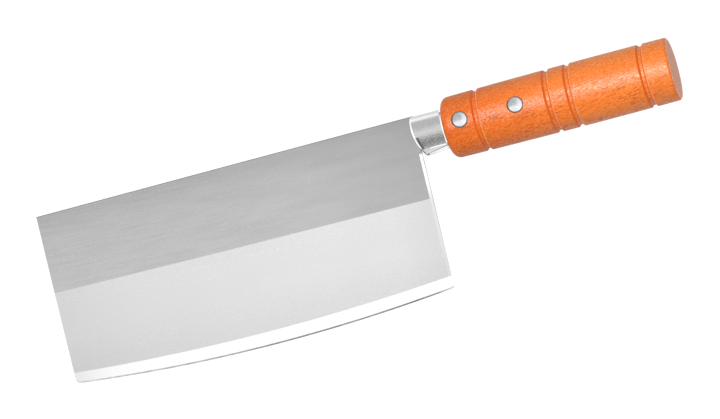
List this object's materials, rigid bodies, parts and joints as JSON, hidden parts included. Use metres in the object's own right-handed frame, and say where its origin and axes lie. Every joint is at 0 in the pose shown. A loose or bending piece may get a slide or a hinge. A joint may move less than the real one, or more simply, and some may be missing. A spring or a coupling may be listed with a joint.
{
  "type": "chinese cleaver",
  "caption": "Chinese kitchen cleaver: tall thin rectangular blade with a bowed cutting edge, short steel bolster and turned round wooden handle with grooves, riveted to a hidden tang.",
  "frame": {"origin": "middle of the knife's outline as it lies on its side, at the height of the handle's lowest line", "axes": "+X from the blade to the handle's butt along the handle's middle line, +Y from the cutting edge to the spine, +Z out of the blade's upper face"},
  "size_m": [0.3246, 0.0952, 0.0307],
  "materials": {
    "blade_steel": "satin above the grinding line, fine matte below it, polished band at the cutting edge",
    "bolster_steel": "grainy blasted sides, polished rim at the blade",
    "handle_wood": "orange stained beech under clear lacquer",
    "rivet_metal": "satin"
  },
  "bodies": {
    "root": {"blade": "blade_steel", "bolster": "bolster_steel", "handle": "handle_wood", "front_rivet_socket": "rivet_metal", "front_rivet_pin": "rivet_metal", "rear_rivet_socket": "rivet_metal", "rear_rivet_pin": "rivet_metal"}
  },
  "joints": []
}
